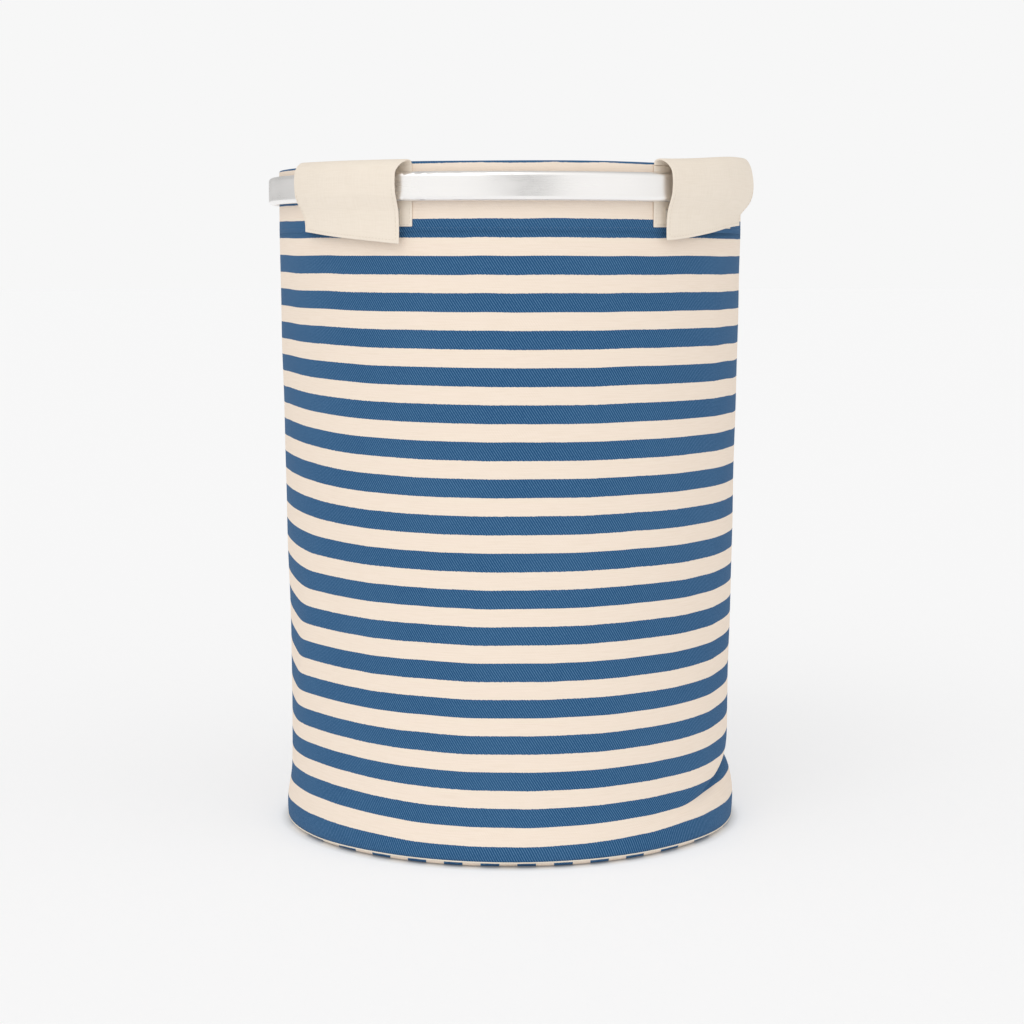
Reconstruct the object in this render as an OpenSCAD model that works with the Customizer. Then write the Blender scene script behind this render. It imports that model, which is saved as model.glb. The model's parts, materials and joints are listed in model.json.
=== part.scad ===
// Round striped canvas sack, held open by a flat oval aluminium hoop that sits in four wide
// cloth tabs. The sack stands on a loose stiff board. The hoop can be pushed down to fold the
// sack flat, each flap opens to free the hoop, and the board lifts out.
// Millimetres, +Z up, front towards -Y. The origin is on the floor under the middle of the sack.

/* [Sack] */
// Height of the mouth above the floor
sack_h = 555; // [450:5:650]
// Outer radius that the wall's slope would reach at the mouth
mouth_r = 197.6; // [170:0.2:230]
// Outer radius of the wall just above the bottom seam
foot_r = 188.5; // [160:0.5:198]
// Thickness of the striped canvas
canvas_t = 1.2; // [0.8:0.1:1.6]
// Thickness of the coated lining
lining_t = 0.6; // [0.3:0.1:0.8]
// Height of the hem band at the mouth, which is turned in and moves with the hoop
hem_h = 55; // [52:1:80]

/* [Bottom] */
// Height of the bottom seam above the floor
seam_z = 6; // [5:0.5:10]
// Thickness of the piping cord in the bottom seam
piping_d = 2.6; // [2:0.1:3]
// Height of the binding tape over the bottom seam
binding_h = 8; // [6:0.5:14]
// Thickness of the folded binding tape
binding_t = 1.5; // [1:0.1:2]
// Thickness of the tape over the wall's upright seam
seam_tape_t = 0.8; // [0.5:0.1:1.2]
// Width of that tape, round the wall in degrees
seam_tape_arc = 4.5; // [3:0.5:8]
// Radius of the loose stiff board
board_r = 181.5; // [150:0.5:182]
// Thickness of the loose stiff board
board_t = 2.5; // [1.5:0.5:4]

/* [Hoop] */
// Height of the flat oval tube
tube_h = 23; // [18:0.5:26]
// Thickness of the flat oval tube
tube_w = 7; // [6:0.5:10]
// Wall of the tube
tube_wall = 1.2; // [0.8:0.1:1.6]
// How far the tube's top edge sits below the mouth
hoop_drop = 8; // [6.5:0.5:10]
// Width of the cut at the rear where the tube's two ends meet
tube_cut = 0.8; // [0.4:0.1:2]
// Half the length of the joint sleeve, round the hoop in degrees
sleeve_half = 9; // [6:0.5:12]
// Diameter of a rivet's shank
rivet_d = 3.2; // [2.4:0.1:4]

/* [Tabs] */
// Angle of each tab from the front or the back of the hoop
tab_angle = 47; // [40:1:50]
// Width of a flap, round the hoop in degrees
flap_arc = 32; // [24:1:36]
// How much wider the strap behind it is, in degrees
strap_extra = 4; // [0:0.5:5]
// Height of a flap's free edge below the top of the tab
flap_drop = 58; // [52:1:60]
// Thickness of the doubled tab canvas
tab_t = 1.3; // [1:0.1:2]
// Height of the two halves of the hook-and-loop fastener
tape_h = 12; // [8:0.5:13]
// Thickness of each half of the fastener
tape_t = 1; // [0.8:0.1:1.2]

/* [Hidden] */
$fn = 144;

// Clearance between pieces that move past each other, and between layers that are sewn together
run_gap = 0.3;
lay_gap = 0.1;

// Strap foot above the hem's foot, loop tape above the strap's foot, hook tape below the loop tape
SEW_MARGIN = 5;
TAPE_MARGIN = 1.5;
TAPE_STAGGER = 1;
// How much narrower than the flap the loop tape is, in degrees
TAPE_TRIM = 2;
// Curl of the bottom: its width, and how far out and how high its middle lies
CURL_W = 8;
CURL_MID_R = 5;
CURL_MID_Z = 1.2;
// How far the mitred inner side of a cloth layer falls behind its outer side at a bend
MITRE = 0.6;
// How far the piping stands out from the wall
PIPING_OUT = 0.6;
// Under the tube a flap turns in over this height, at this rise for each millimetre inwards
TURN_UP = 1.5;
TURN_RISE = 0.85;
// Rivets: place on each side of the cut in degrees, head height, and play round the shank
RIVET_AT = 4.5;
RIVET_HEAD = 0.8;
RIVET_GRIP = 1.6;
RIVET_PLAY = 0.04;
// Wall of the joint sleeve
SLEEVE_WALL = 1;

// Where each tab stands, as an angle round the hoop from +X
FRONT_LEFT = -90 - tab_angle;
FRONT_RIGHT = -90 + tab_angle;
REAR_LEFT = 90 + tab_angle;
REAR_RIGHT = 90 - tab_angle;
REAR = 90;

// The wall slopes evenly from foot_z to hem_z, and stands upright above that
foot_z = seam_z + piping_d / 2 + lay_gap;
hem_z = sack_h - hem_h;
function wall_r(z) = foot_r + (mouth_r - foot_r) * (z - foot_z) / (sack_h - foot_z);

// Radii of the tab layers and of the hoop, from the inside out
hem_r = wall_r(hem_z);
strap_r = hem_r + run_gap;
tube_r = strap_r + tab_t + run_gap;
hoop_r = tube_r + tube_w;
flap_r = hoop_r + 2 * run_gap;
low_flap_r = strap_r + tab_t + 2 * tape_t + run_gap;

// Heights of the hoop and of the tabs
tube_top = sack_h - hoop_drop;
tube_z = tube_top - tube_h;
web_z = tube_top + run_gap;
tab_top = web_z + tab_t;
strap_z = hem_z + SEW_MARGIN;
flap_z = tab_top - flap_drop;
loop_z = strap_z + TAPE_MARGIN;
hook_z = loop_z - TAPE_STAGGER;

// Bottom: the canvas disc is flat to flat_r and curls up to the seam
flat_r = foot_r - CURL_W;
seam_low_z = seam_z - piping_d / 2 - lay_gap;

// A flat oval of height h and thickness w, standing on edge with its inner side at r and foot at z
module oval(r, z, w, h) {
    translate([r, z + w / 2]) square([w, h - w]);
    translate([r + w / 2, z + w / 2]) circle(d = w);
    translate([r + w / 2, z + h - w / 2]) circle(d = w);
}

// The drawn section, swept round the hoop for arc degrees about the angle mid
module sweep(mid, arc) {
    rotate([0, 0, mid - arc / 2]) rotate_extrude(angle = arc) children();
}

// A rectangular section from radius r1 to r2 and from height z1 to z2
module section(r1, r2, z1, z2) {
    translate([r1, z1]) square([r2 - r1, z2 - z1]);
}

// The section of a layer t thick that follows the wall from z1 to z2, inset from its outer face
module wall_section(z1, z2, inset, t) {
    r1 = wall_r(z1) - inset;
    r2 = wall_r(z2) - inset;
    polygon([[r1, z1], [r2, z2], [r2 - t, z2], [r1 - t, z1]]);
}

// The cloth disc of the bottom, flat to flat_r and curled up to its edge
module dish() {
    t = canvas_t;
    rotate_extrude()
        polygon([[0, 0], [flat_r, 0], [flat_r + CURL_MID_R, CURL_MID_Z],
                 [foot_r, seam_low_z - t], [foot_r, seam_low_z], [foot_r - t, seam_low_z],
                 [flat_r + CURL_MID_R - MITRE, CURL_MID_Z + t], [flat_r - MITRE / 3, t], [0, t]]);
}

module outer_shell() {
    color("steelblue") rotate_extrude() wall_section(foot_z, hem_z, 0, canvas_t);
}

module inner_lining() {
    color("gainsboro") rotate_extrude()
        wall_section(foot_z + 1, hem_z, canvas_t + lay_gap, lining_t);
}

module rear_seam_tape() {
    color("antiquewhite") sweep(REAR, seam_tape_arc)
        wall_section(foot_z + binding_h + 2, hem_z, canvas_t + lining_t + 2 * lay_gap, seam_tape_t);
}

// The top of the wall: outer layer, fold at the mouth and the layer turned in behind it
module hem_band() {
    inner_r = hem_r - canvas_t - lining_t - 2 * lay_gap;
    color("antiquewhite") rotate_extrude() {
        section(hem_r - canvas_t, hem_r, hem_z, sack_h);
        section(inner_r - canvas_t, inner_r, hem_z, sack_h);
        section(inner_r - canvas_t, hem_r, sack_h - canvas_t, sack_h);
    }
}

module base_panel() {
    color("steelblue") dish();
}

module base_lining() {
    color("gainsboro") rotate_extrude()
        section(0, flat_r - 2, canvas_t + lay_gap, canvas_t + lay_gap + lining_t);
}

module base_piping() {
    color("antiquewhite") rotate_extrude()
        translate([foot_r - piping_d / 2 + PIPING_OUT, seam_z]) circle(d = piping_d);
}

// The binding stands on the bottom seam, against the foot of the lining
module base_seam_binding() {
    color("antiquewhite") rotate_extrude()
        wall_section(foot_z, foot_z + binding_h, canvas_t + lining_t + 3 * lay_gap, binding_t);
}

module base_board() {
    board_z = canvas_t + lining_t + 2 * lay_gap;
    color("dimgray") rotate_extrude() {
        section(0, board_r - board_t / 2, board_z, board_z + board_t);
        translate([board_r - board_t / 2, board_z + board_t / 2]) circle(d = board_t);
    }
}

// Rivet shanks at both ends of the joint, from inside the hoop to radius r_end
module rivet_shanks(r_start, r_end, d) {
    for (side = [-1, 1])
        rotate([0, 0, REAR + side * RIVET_AT])
            translate([r_start, 0, tube_z + tube_h / 2])
                rotate([0, 90, 0]) cylinder(d = d, h = r_end - r_start);
}

// The bent tube: a hollow flat oval, open only at the cut in the rear
module rim_hoop() {
    cut_arc = tube_cut / hoop_r * 180 / PI;
    color("silver") difference() {
        sweep(REAR + 180, 360 - cut_arc) difference() {
            oval(tube_r, tube_z, tube_w, tube_h);
            oval(tube_r + tube_wall, tube_z + tube_wall,
                 tube_w - 2 * tube_wall, tube_h - 2 * tube_wall);
        }
        rivet_shanks(tube_r - 1, tube_r + 2 * tube_wall, rivet_d);
    }
}

// A hollow oval sleeve that fills the tube's bore across the cut
module hoop_joint_sleeve() {
    skin = tube_wall + lay_gap / 2;
    wall = SLEEVE_WALL;
    color("gray") difference() {
        sweep(REAR, 2 * sleeve_half) difference() {
            oval(tube_r + skin, tube_z + skin, tube_w - 2 * skin, tube_h - 2 * skin);
            oval(tube_r + skin + wall, tube_z + skin + wall,
                 tube_w - 2 * skin - 2 * wall, tube_h - 2 * skin - 2 * wall);
        }
        rivet_shanks(tube_r, tube_r + skin + 2 * wall, rivet_d);
    }
}

// Two rivets set from the inner side of the hoop, with low flat heads
module hoop_rivets() {
    color("gray") {
        rivet_shanks(tube_r - RIVET_HEAD, tube_r + tube_wall + RIVET_GRIP, rivet_d - RIVET_PLAY);
        rivet_shanks(tube_r - RIVET_HEAD, tube_r - lay_gap / 2, 2 * rivet_d);
    }
}

// The strap: sewn to the sack below the tube, up behind it and over its top
module tab_strap(mid) {
    color("linen") sweep(mid, flap_arc + strap_extra) {
        section(strap_r, strap_r + tab_t, strap_z, tab_top);
        section(strap_r, flap_r - run_gap, web_z, tab_top);
    }
}

// The free flap: down the front of the tube, under it to the strap, and on to its edge
module flap(mid) {
    bend_z = tube_z + TURN_UP;
    low_z = bend_z - TURN_RISE * (flap_r - low_flap_r);
    color("linen") sweep(mid, flap_arc)
        polygon([[flap_r, tab_top], [flap_r, bend_z], [low_flap_r, low_z], [low_flap_r, flap_z],
                 [low_flap_r + tab_t, flap_z], [low_flap_r + tab_t, low_z - MITRE],
                 [flap_r + tab_t, bend_z - MITRE], [flap_r + tab_t, tab_top]]);
}

// The soft half of a fastener, on the strap
module loop_tape(mid) {
    color("white") sweep(mid, flap_arc - TAPE_TRIM)
        section(strap_r + tab_t, strap_r + tab_t + tape_t, loop_z, loop_z + tape_h);
}

// The hook half of a fastener, on the inside of the flap
module hook_tape(mid) {
    color("white") sweep(mid, flap_arc - TAPE_TRIM - TAPE_STAGGER)
        section(low_flap_r - tape_t, low_flap_r, hook_z, hook_z + tape_h);
}

outer_shell();
inner_lining();
rear_seam_tape();
base_panel();
base_lining();
base_piping();
base_seam_binding();
base_board();
hem_band();
rim_hoop();
hoop_joint_sleeve();
hoop_rivets();
tab_strap(FRONT_LEFT);  // tab_strap_front_left
tab_strap(FRONT_RIGHT);  // tab_strap_front_right
tab_strap(REAR_LEFT);  // tab_strap_rear_left
tab_strap(REAR_RIGHT);  // tab_strap_rear_right
loop_tape(FRONT_LEFT);  // loop_tape_front_left
loop_tape(FRONT_RIGHT);  // loop_tape_front_right
loop_tape(REAR_LEFT);  // loop_tape_rear_left
loop_tape(REAR_RIGHT);  // loop_tape_rear_right
flap(FRONT_LEFT);  // flap_front_left
flap(FRONT_RIGHT);  // flap_front_right
flap(REAR_LEFT);  // flap_rear_left
flap(REAR_RIGHT);  // flap_rear_right
hook_tape(FRONT_LEFT);  // hook_tape_front_left
hook_tape(FRONT_RIGHT);  // hook_tape_front_right
hook_tape(REAR_LEFT);  // hook_tape_rear_left
hook_tape(REAR_RIGHT);  // hook_tape_rear_right
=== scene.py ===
"""Looks of the striped canvas sack on its aluminium hoop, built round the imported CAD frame."""
import json
import logging
import math
from dataclasses import dataclass, field
from enum import Enum
from typing import Sequence

import bmesh
import bpy
import numpy as np
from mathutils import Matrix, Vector


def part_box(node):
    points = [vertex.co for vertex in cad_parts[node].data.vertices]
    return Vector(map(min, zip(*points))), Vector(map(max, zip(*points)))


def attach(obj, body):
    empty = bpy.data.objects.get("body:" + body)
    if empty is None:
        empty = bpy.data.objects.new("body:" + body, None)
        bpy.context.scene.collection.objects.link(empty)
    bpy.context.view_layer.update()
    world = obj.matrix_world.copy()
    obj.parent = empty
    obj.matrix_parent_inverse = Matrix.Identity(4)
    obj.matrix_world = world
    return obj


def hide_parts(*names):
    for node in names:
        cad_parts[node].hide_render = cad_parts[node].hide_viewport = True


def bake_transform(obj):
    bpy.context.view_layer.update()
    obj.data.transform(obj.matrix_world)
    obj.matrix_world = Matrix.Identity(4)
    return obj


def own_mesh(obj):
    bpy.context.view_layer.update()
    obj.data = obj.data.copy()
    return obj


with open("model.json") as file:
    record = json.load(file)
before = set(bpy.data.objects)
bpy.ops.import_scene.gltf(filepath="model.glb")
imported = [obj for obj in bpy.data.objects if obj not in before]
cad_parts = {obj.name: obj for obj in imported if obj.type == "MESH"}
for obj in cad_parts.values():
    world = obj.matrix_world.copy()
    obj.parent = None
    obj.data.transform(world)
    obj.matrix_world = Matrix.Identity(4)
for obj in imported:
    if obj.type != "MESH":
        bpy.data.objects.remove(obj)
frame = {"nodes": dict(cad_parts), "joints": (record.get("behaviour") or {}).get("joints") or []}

LOG = logging.getLogger("sack")
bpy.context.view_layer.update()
MM = 0.001
FULL_TURN = 2 * math.pi
# The camera stands this far round the sack from its front, towards -X.
CAMERA_TURN = math.radians(6.35)
# How far the stripes miss each other at the rear seam.
SEAM_MISS = 1.6 * MM

Colour = tuple[float, float, float]
Socket = bpy.types.NodeSocket
Array = np.ndarray


# ---------------------------------------------------------------- small helpers


def ease(t: Array | float) -> Array | float:
    """Smooth step from 0 at t = 0 to 1 at t = 1.

    Args:
        t: Any number or array.

    Returns:
        The eased value, held at 0 and 1 outside the range.
    """
    u = np.clip(t, 0.0, 1.0)
    return u * u * (3 - 2 * u)


def bell(t: Array | float) -> Array | float:
    """Gaussian bump of height 1 at t = 0, with a spread of 1."""
    return np.exp(-0.5 * np.square(t))


def wrap(a: Array | float) -> Array | float:
    """The same angle between -pi and pi."""
    return (np.asarray(a) + math.pi) % FULL_TURN - math.pi


def curve_through(points: Sequence[tuple[float, float]], count: int) -> Array:
    """Even points along a smooth curve through a few chosen ones.

    Args:
        points: The points that the curve passes, in order.
        count: How many points to return.

    Returns:
        An array of count rows, spaced evenly along the curve.
    """
    p = np.array(points, float)
    p = np.vstack([2 * p[0] - p[1], p, 2 * p[-1] - p[-2]])
    t = np.linspace(0, 1, 24, endpoint=False)[:, None]
    spans = [
        0.5 * (2 * b + (c - a) * t + (2 * a - 5 * b + 4 * c - d) * t**2 + (3 * b - a - 3 * c + d) * t**3)
        for a, b, c, d in zip(p, p[1:], p[2:], p[3:])
    ]
    line = np.vstack([*spans, p[-2:-1]])
    run = run_along(line)
    at = np.linspace(0, run[-1], count)
    return np.stack([np.interp(at, run, line[:, k]) for k in range(p.shape[1])], axis=1)


def run_along(points: Array) -> Array:
    """How far each point lies along a line, from its first point."""
    return np.concatenate([[0], np.cumsum(np.linalg.norm(np.diff(points, axis=0), axis=1))])


def around(a: Array, r: Array, z: Array) -> Array:
    """Points at angle a from the front towards +X, at radius r and height z."""
    a, r, z = np.broadcast_arrays(a, r, z)
    return np.stack([r * np.sin(a), -r * np.cos(a), z], axis=-1)


def outward(a: Array) -> Array:
    """The level direction away from the axis at each angle."""
    return around(a, np.ones_like(a), np.zeros_like(a))


def grid_piece(name: str, points: Array, uv: Array, closed: bool = False,
               flip: bool = False) -> bpy.types.Object:
    """A mesh over a grid of points, with its own UV map in metres of cloth.

    Args:
        name: The piece's name.
        points: Rows by columns by 3.
        uv: Rows by columns by 2, with one more column where the grid is closed.
        closed: Whether the last column joins the first.
        flip: Whether to turn the faces the other way.

    Returns:
        The new object, shaded smooth, with no parent.
    """
    rows, cols = points.shape[:2]
    spans = cols if closed else cols - 1
    i, j = np.meshgrid(np.arange(rows - 1), np.arange(spans), indexing="ij")
    k = (j + 1) % cols
    corners = [(i, j, j), (i, k, j + 1), (i + 1, k, j + 1), (i + 1, j, j)]
    if flip:
        corners.reverse()
    faces = np.stack([r * cols + c for r, c, _ in corners], axis=-1).reshape(-1, 4)
    uv_values = np.stack([uv[r, c] for r, _, c in corners], axis=2).reshape(-1, 2)
    mesh = bpy.data.meshes.new(name)
    mesh.from_pydata(points.reshape(-1, 3).tolist(), [], faces.tolist())
    layer = mesh.uv_layers.new(name="cloth")
    layer.data.foreach_set("uv", uv_values.astype(np.float32).ravel())
    mesh.shade_smooth()
    piece = bpy.data.objects.new(name, mesh)
    bpy.context.scene.collection.objects.link(piece)
    return piece


def thicken(piece: bpy.types.Object, thickness: float, offset: float = 0.0, rounds: int = 0) -> None:
    """Gives a sheet its real thickness, and applies it.

    Args:
        piece: The sheet.
        thickness: Its thickness in metres.
        offset: -1 thickens inwards, 0 both ways and 1 outwards.
        rounds: Levels of subdivision that round off its cut edges.
    """
    solid = piece.modifiers.new("thickness", "SOLIDIFY")
    solid.thickness = thickness
    solid.offset = offset
    solid.use_even_offset = True
    if rounds:
        soft = piece.modifiers.new("rounding", "SUBSURF")
        soft.levels = rounds
        soft.render_levels = rounds
    apply_modifiers(piece)


def apply_modifiers(piece: bpy.types.Object) -> None:
    """Replaces the piece's mesh by what its modifiers make of it."""
    graph = bpy.context.evaluated_depsgraph_get()
    done = bpy.data.meshes.new_from_object(piece.evaluated_get(graph), depsgraph=graph)
    piece.modifiers.clear()
    old = piece.data
    piece.data = done
    done.name = piece.name
    bpy.data.meshes.remove(old)


def weld(piece: bpy.types.Object) -> None:
    """Joins points that lie together, and turns every face outwards."""
    mesh = bmesh.new()
    mesh.from_mesh(piece.data)
    bmesh.ops.remove_doubles(mesh, verts=mesh.verts, dist=1e-6)
    bmesh.ops.recalc_face_normals(mesh, faces=mesh.faces)
    mesh.to_mesh(piece.data)
    mesh.free()


def dress(piece: bpy.types.Object, material: bpy.types.Material) -> None:
    """Puts a finish on a piece."""
    piece.data.materials.clear()
    piece.data.materials.append(material)


def sew(piece: bpy.types.Object, cloth: tuple[float, float, int], material: bpy.types.Material,
        node: str) -> None:
    """Makes a bare sheet into cloth that stands for a CAD node.

    Args:
        piece: The sheet.
        cloth: Its thickness, and the offset and the rounds that thicken takes.
        material: Its finish.
        node: The CAD node that it replaces.
    """
    thicken(piece, *cloth)
    dress(piece, material)
    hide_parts(node)


def dress_node(node: str, material: bpy.types.Material) -> None:
    """Puts a finish on a CAD node that stays in sight."""
    piece = frame["nodes"][node]
    while len(piece.material_slots) < 1:
        piece.data.materials.append(None)
    for place in piece.material_slots:
        place.material = material


@dataclass(frozen=True)
class Stitch:
    """Sizes of one stitch: its length, the cloth between two, and the thread's thickness."""

    length: float
    gap: float
    width: float


TAB_STITCH = Stitch(2.2 * MM, 1.0 * MM, 0.35 * MM)
HEM_STITCH = Stitch(2.6 * MM, 1.1 * MM, 0.42 * MM)
TAPE_STITCH = Stitch(2.6 * MM, 1.2 * MM, 0.5 * MM)
BINDING_STITCH = Stitch(2.8 * MM, 1.3 * MM, 0.5 * MM)


def stitch_row(name: str, points: Array, normals: Array, stitch: Stitch, thread: bpy.types.Material) -> bpy.types.Object:
    """A row of sewn stitches: short flattened loops of thread that follow a line on cloth.

    Args:
        name: The piece's name.
        points: The line on the cloth's face.
        normals: The cloth's normal at each point.
        stitch: Sizes of one stitch.
        thread: The thread's finish.

    Returns:
        One mesh that holds all the stitches.
    """
    run = run_along(points)
    starts = np.arange(stitch.gap, run[-1] - stitch.length, stitch.length + stitch.gap)
    verts: list[Array] = []
    faces: list[tuple[int, ...]] = []
    sides = 6
    rings = ((0.0, 0.35, -0.3), (0.22, 0.9, 0.25), (0.5, 1.0, 0.4), (0.78, 0.9, 0.25), (1.0, 0.35, -0.3))
    for start in starts:
        first = len(verts)
        for share, swell, lift in rings:
            at = start + share * stitch.length
            here = np.array([np.interp(at, run, points[:, k]) for k in range(3)])
            ahead = np.array([np.interp(at + 2e-4, run, points[:, k]) for k in range(3)])
            up = np.array([np.interp(at, run, normals[:, k]) for k in range(3)])
            up /= np.linalg.norm(up)
            side = np.cross(ahead - here, up)
            side /= max(np.linalg.norm(side), 1e-12)
            for n in range(sides):
                turn = FULL_TURN * n / sides
                across = side * math.cos(turn) * swell * stitch.width / 2
                above = up * (math.sin(turn) * swell * 0.7 * stitch.width / 2 + lift * stitch.width)
                verts.append(here + across + above)
        for ring in range(len(rings) - 1):
            for n in range(sides):
                m = (n + 1) % sides
                low, high = first + ring * sides, first + (ring + 1) * sides
                faces.append((low + n, high + n, high + m, low + m))
        last = first + (len(rings) - 1) * sides
        faces.append(tuple(first + n for n in range(sides)))
        faces.append(tuple(last + n for n in reversed(range(sides))))
    mesh = bpy.data.meshes.new(name)
    mesh.from_pydata([v.tolist() for v in verts], [], faces)
    mesh.shade_smooth()
    piece = bpy.data.objects.new(name, mesh)
    bpy.context.scene.collection.objects.link(piece)
    dress(piece, thread)
    return piece


# ---------------------------------------------------------------- finishes


class Tree:
    """A material's node tree, with short ways to add the nodes that the finishes use."""

    def __init__(self, name: str) -> None:
        """Starts a material of that name with one Principled shader."""
        self.material = bpy.data.materials.new(name)
        self.material.use_nodes = True
        self.nodes = self.material.node_tree.nodes
        self.links = self.material.node_tree.links
        self.shader = self.nodes["Principled BSDF"]

    def put(self, target: Socket, value: Socket | float | tuple) -> None:
        """Links a socket to an input, or sets the input's own value."""
        if isinstance(value, bpy.types.NodeSocket):
            self.links.new(value, target)
        elif isinstance(value, tuple) and len(target.default_value) == 4:
            target.default_value = (*value[:3], 1.0)
        else:
            target.default_value = value

    def math(self, kind: str, *values: Socket | float) -> Socket:
        """The result of one Math node."""
        node = self.nodes.new("ShaderNodeMath")
        node.operation = kind
        for target, value in zip(node.inputs, values):
            self.put(target, value)
        return node.outputs[0]

    def mix(self, share: Socket | float, a: Socket | Colour, b: Socket | Colour) -> Socket:
        """Colour a mixed with colour b by share."""
        node = self.nodes.new("ShaderNodeMix")
        node.data_type = "RGBA"
        self.put(node.inputs[0], share)
        self.put(node.inputs[6], a)
        self.put(node.inputs[7], b)
        return node.outputs[2]

    def span(self, value: Socket, low: float, high: float, to_low: float = 0.0,
             to_high: float = 1.0) -> Socket:
        """Value eased from low..high to to_low..to_high."""
        node = self.nodes.new("ShaderNodeMapRange")
        node.interpolation_type = "SMOOTHSTEP"
        for target, number in zip(node.inputs, (value, low, high, to_low, to_high)):
            self.put(target, number)
        return node.outputs[0]

    def uv(self) -> tuple[Socket, Socket]:
        """The cloth's own two coordinates, in metres round it and along it."""
        place = self.nodes.new("ShaderNodeUVMap")
        place.uv_map = "cloth"
        parts = self.nodes.new("ShaderNodeSeparateXYZ")
        self.links.new(place.outputs[0], parts.inputs[0])
        return parts.outputs[0], parts.outputs[1]

    def place(self) -> tuple[Socket, Socket, Socket]:
        """The piece's own three coordinates, in metres."""
        node = self.nodes.new("ShaderNodeTexCoord")
        parts = self.nodes.new("ShaderNodeSeparateXYZ")
        self.links.new(node.outputs["Object"], parts.inputs[0])
        return parts.outputs[0], parts.outputs[1], parts.outputs[2]

    def times(self, a: Socket | float, b: Socket | float) -> Socket:
        """The product of two values."""
        return self.math("MULTIPLY", a, b)

    def plus(self, a: Socket | float, b: Socket | float) -> Socket:
        """The sum of two values."""
        return self.math("ADD", a, b)

    def far(self, x: Socket, y: Socket) -> Socket:
        """The distance from the upright axis."""
        return self.math("SQRT", self.plus(self.times(x, x), self.times(y, y)))

    def noise(self, *terms: tuple[Socket, float], detail: float = 2) -> Socket:
        """Noise from 0 to 1.

        Args:
            *terms: Up to three coordinates, each with its scale.
            detail: Octaves of finer noise.

        Returns:
            The noise.
        """
        joined = self.nodes.new("ShaderNodeCombineXYZ")
        for target, (value, scale) in zip(joined.inputs, terms):
            self.put(target, self.times(value, scale))
        node = self.nodes.new("ShaderNodeTexNoise")
        node.inputs["Scale"].default_value = 1.0
        node.inputs["Detail"].default_value = detail
        self.links.new(joined.outputs[0], node.inputs["Vector"])
        return node.outputs[0]

    def wave(self, value: Socket) -> Socket:
        """A smooth wave from 0 to 1 that repeats each whole number."""
        turned = self.times(value, FULL_TURN)
        return self.math("MULTIPLY_ADD", self.math("SINE", turned), 0.5, 0.5)

    def raise_by(self, height: Socket, distance: float, strength: float = 1.0) -> None:
        """Adds relief of that height, in metres, to the shader."""
        node = self.nodes.new("ShaderNodeBump")
        node.inputs["Strength"].default_value = strength
        node.inputs["Distance"].default_value = distance
        self.links.new(height, node.inputs["Height"])
        self.links.new(node.outputs[0], self.shader.inputs["Normal"])

    def finish(self, colour: Socket | Colour, roughness: Socket | float,
               **constants: float) -> bpy.types.Material:
        """Sets the shader's colour, roughness and constant values.

        Args:
            colour: Base colour.
            roughness: Roughness.
            **constants: Other inputs, by name with _ for a space.

        Returns:
            The finished material.
        """
        self.put(self.shader.inputs["Base Color"], colour)
        self.put(self.shader.inputs["Roughness"], roughness)
        for name, value in constants.items():
            self.shader.inputs[name.replace("_", " ")].default_value = value
        return self.material


@dataclass(frozen=True)
class StripedTwill:
    """Yarn-dyed twill canvas with even blue and cream stripes."""

    blue: Colour = (0.010, 0.070, 0.185)
    blue_light: Colour = (0.115, 0.255, 0.43)
    cream: Colour = (0.94, 0.815, 0.70)
    cream_shade: Colour = (0.85, 0.715, 0.58)
    pitch: float = 29.0 * MM
    blue_width: float = 15.0 * MM
    first_edge: float = 2.6 * MM
    rib: float = 2.1 * MM
    yarn: float = 0.75 * MM

    def material(self, name: str) -> bpy.types.Material:
        """Builds the material.

        Args:
            name: Its name.

        Returns:
            A material that reads the cloth's UV map.
        """
        t = Tree(name)
        u, v = t.uv()
        ragged = t.noise((u, 900), (v, 160), detail=1)
        drift = t.noise((u, 22), (v, 7), detail=1)
        shift = t.math("MULTIPLY_ADD", ragged, 0.9 * MM, -0.45 * MM)
        shift = t.plus(shift, t.math("MULTIPLY_ADD", drift, 1.6 * MM, -0.8 * MM))
        along = t.math("DIVIDE", t.math("SUBTRACT", t.plus(v, shift), self.first_edge), self.pitch)
        part = t.times(t.math("FRACT", along), self.pitch)
        soft = 0.22 * MM
        rise = t.span(part, 0.0, soft)
        fall = t.span(part, self.blue_width - soft, self.blue_width, 1.0, 0.0)
        is_blue = t.times(rise, fall)
        slant = t.plus(t.math("DIVIDE", u, self.rib), t.math("DIVIDE", v, 1.54 * self.rib))
        rib = t.wave(slant)
        pick = t.wave(t.math("DIVIDE", v, self.yarn))
        end = t.wave(t.math("DIVIDE", u, 0.62 * self.yarn))
        weave = t.times(rib, t.math("MULTIPLY_ADD", pick, 0.5, 0.5))
        fleck = t.noise((u, 1500), (v, 900), detail=2)
        slub = t.noise((u, 45), (v, 1300), detail=2)
        worn = t.noise((u, 9), (v, 9), detail=3)
        show = t.times(t.span(rib, 0.25, 0.95), t.span(fleck, 0.25, 0.65, 0.35, 1.0))
        dyed = t.mix(t.times(show, 0.78), self.blue, self.blue_light)
        dyed = t.mix(t.span(worn, 0.35, 0.75, 0.0, 0.08), dyed, self.blue_light)
        plain = t.mix(t.span(slub, 0.35, 0.75, 0.0, 0.42), self.cream, self.cream_shade)
        # Painted shade: the cream darkens where the weave sinks, in the hollows of its relief.
        plain = t.mix(t.times(t.span(weave, 0.2, 0.9, 1.0, 0.0), 0.16), plain, self.cream_shade)
        colour = t.mix(is_blue, plain, dyed)
        relief = t.plus(t.times(weave, 0.7), t.times(end, 0.15))
        relief = t.plus(relief, t.times(slub, 0.25))
        t.raise_by(relief, 0.16 * MM, 0.55)
        rough = t.span(fleck, 0.2, 0.8, 0.78, 0.92)
        return t.finish(colour, rough, Sheen_Weight=0.03, Sheen_Roughness=0.5, Specular_IOR_Level=0.15)


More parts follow.
